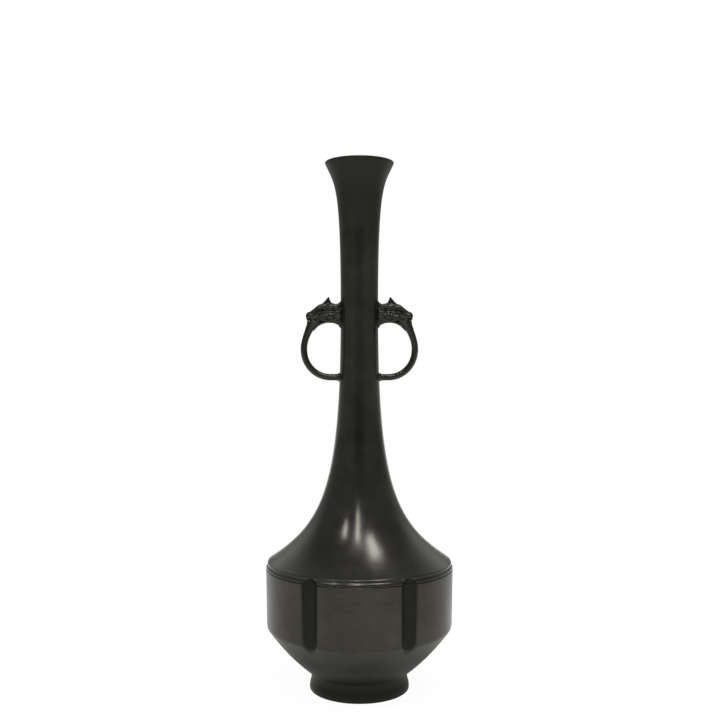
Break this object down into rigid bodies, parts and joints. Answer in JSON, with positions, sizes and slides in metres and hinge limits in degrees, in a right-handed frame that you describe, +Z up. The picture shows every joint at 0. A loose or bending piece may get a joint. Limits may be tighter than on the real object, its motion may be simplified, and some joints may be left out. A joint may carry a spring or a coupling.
{
  "type": "bronze flower vase",
  "caption": "Slender flower vase with a flared mouth, a long neck with beast-head ring ears, a sloping shoulder, a low fluted drum and a foot ring.",
  "frame": {"origin": "on the vase's axis, in the plane that the foot ring stands on", "axes": "+Z up along the vase's axis, the two ears along X, the pictured front towards -Y"},
  "size_m": [0.0988, 0.0992, 0.28],
  "materials": {
    "patinated_bronze": "satin dark brown-black patina over turned bronze",
    "ear_bronze": "dark patina on chased cast bronze, a little lighter where it is handled",
    "underside_bronze": "dull dark as-cast bronze"
  },
  "bodies": {
    "root": {"neck_casting": "patinated_bronze", "body_casting": "patinated_bronze", "base_plate": "underside_bronze", "ear_left": "ear_bronze", "ear_right": "ear_bronze"}
  },
  "joints": []
}
